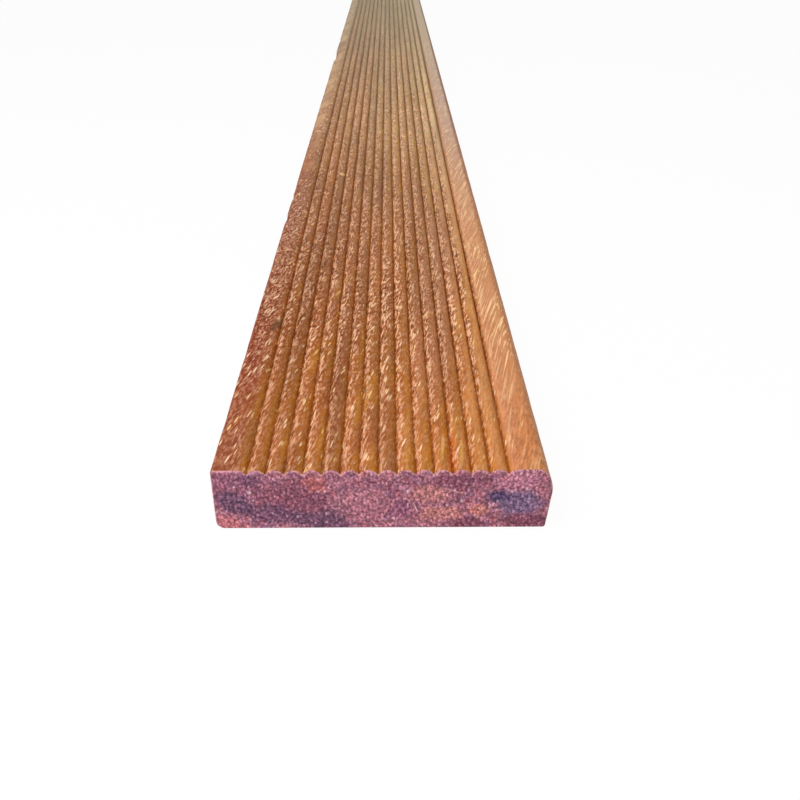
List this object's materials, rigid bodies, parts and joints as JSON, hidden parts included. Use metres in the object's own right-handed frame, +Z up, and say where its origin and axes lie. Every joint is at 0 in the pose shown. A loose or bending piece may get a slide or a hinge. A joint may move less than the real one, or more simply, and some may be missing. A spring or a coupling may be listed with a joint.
{
  "type": "decking board",
  "caption": "Solid hardwood decking board with a reeded walking face between plain lands, a plain underside and square-sawn ends.",
  "frame": {"origin": "middle of the underside, on the floor that the board lies on", "axes": "+X across the board from its square left edge to its rounded right edge, +Y along the board from the near end to the far end, +Z up from the underside to the reeded face"},
  "size_m": [0.09, 1.8, 0.019],
  "materials": {
    "hardwood": "planed, unoiled tropical hardwood"
  },
  "bodies": {
    "root": {"decking_board": "hardwood"}
  },
  "joints": []
}
